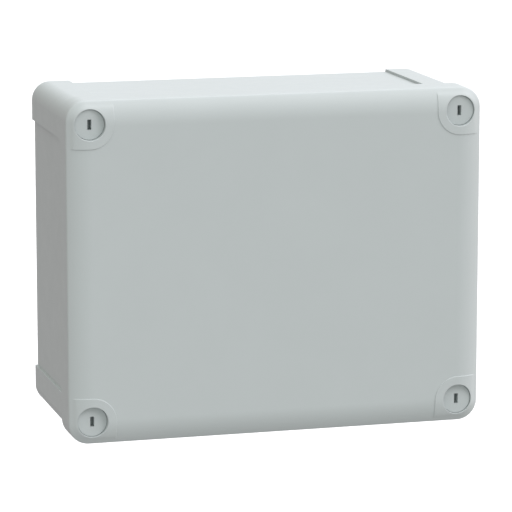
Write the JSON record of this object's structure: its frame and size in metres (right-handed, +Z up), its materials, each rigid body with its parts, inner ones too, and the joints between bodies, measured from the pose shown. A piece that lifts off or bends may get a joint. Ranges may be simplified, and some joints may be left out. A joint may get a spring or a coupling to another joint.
{
  "type": "electrical junction box",
  "caption": "Grey moulded wall box with a crowned lift-off cover on quarter-turn corner screws, a seal, and rail terminals inside.",
  "frame": {"origin": "centre of the flat back face, in the plane of the wall", "axes": "+X along the width, to the viewer's right from the front; +Y out of the back, into the wall; +Z up"},
  "size_m": [0.241, 0.107, 0.194],
  "materials": {
    "plastic": "fine satin moulded light grey",
    "screw": "satin moulded light grey",
    "seal": "black foamed seal",
    "zinc": "bright zinc plate",
    "copper": "tin-plated copper",
    "terminal": "moulded grey",
    "earth": "moulded green and yellow",
    "stop": "moulded beige"
  },
  "bodies": {
    "base": {"enclosure_base": "plastic", "mounting_rail": "zinc", "rail_screw_left": "zinc", "rail_screw_right": "zinc", "terminal_1_housing": "terminal", "terminal_1_bar": "copper", "terminal_1_cage_upper": "zinc", "terminal_1_screw_upper": "zinc", "terminal_1_cage_lower": "zinc", "terminal_1_screw_lower": "zinc", "terminal_2_housing": "terminal", "terminal_2_bar": "copper", "terminal_2_cage_upper": "zinc", "terminal_2_screw_upper": "zinc", "terminal_2_cage_lower": "zinc", "terminal_2_screw_lower": "zinc", "terminal_3_housing": "terminal", "terminal_3_bar": "copper", "terminal_3_cage_upper": "zinc", "terminal_3_screw_upper": "zinc", "terminal_3_cage_lower": "zinc", "terminal_3_screw_lower": "zinc", "terminal_4_housing": "terminal", "terminal_4_bar": "copper", "terminal_4_cage_upper": "zinc", "terminal_4_screw_upper": "zinc", "terminal_4_cage_lower": "zinc", "terminal_4_screw_lower": "zinc", "terminal_5_housing": "terminal", "terminal_5_bar": "copper", "terminal_5_cage_upper": "zinc", "terminal_5_screw_upper": "zinc", "terminal_5_cage_lower": "zinc", "terminal_5_screw_lower": "zinc", "earth_terminal_housing": "earth", "earth_terminal_bar": "copper", "earth_terminal_cage_upper": "zinc", "earth_terminal_screw_upper": "zinc", "earth_terminal_cage_lower": "zinc", "earth_terminal_screw_lower": "zinc", "end_plate": "terminal", "end_stop_left": "stop", "end_stop_right": "stop", "end_stop_screw_left": "zinc", "end_stop_screw_right": "zinc"},
    "cover": {"cover": "plastic", "cover_gasket": "seal"},
    "screw_top_left": {"cover_screw_top_left": "screw"},
    "screw_top_right": {"cover_screw_top_right": "screw"},
    "screw_bottom_left": {"cover_screw_bottom_left": "screw"},
    "screw_bottom_right": {"cover_screw_bottom_right": "screw"}
  },
  "joints": [
    {"name": "cover_lift_off", "type": "slide", "parent": "base", "child": "cover", "axis": [0, -1, 0], "range_m": [0, 0.12]},
    {"name": "screw_turn_top_left", "type": "hinge", "parent": "cover", "child": "screw_top_left", "pos_m": [-0.1072, -0.104, 0.0837], "axis": [0, -1, 0], "range_deg": [0, 90]},
    {"name": "screw_turn_top_right", "type": "hinge", "parent": "cover", "child": "screw_top_right", "pos_m": [0.1072, -0.104, 0.0837], "axis": [0, -1, 0], "range_deg": [0, 90]},
    {"name": "screw_turn_bottom_left", "type": "hinge", "parent": "cover", "child": "screw_bottom_left", "pos_m": [-0.1072, -0.104, -0.0837], "axis": [0, -1, 0], "range_deg": [0, 90]},
    {"name": "screw_turn_bottom_right", "type": "hinge", "parent": "cover", "child": "screw_bottom_right", "pos_m": [0.1072, -0.104, -0.0837], "axis": [0, -1, 0], "range_deg": [0, 90]}
  ]
}
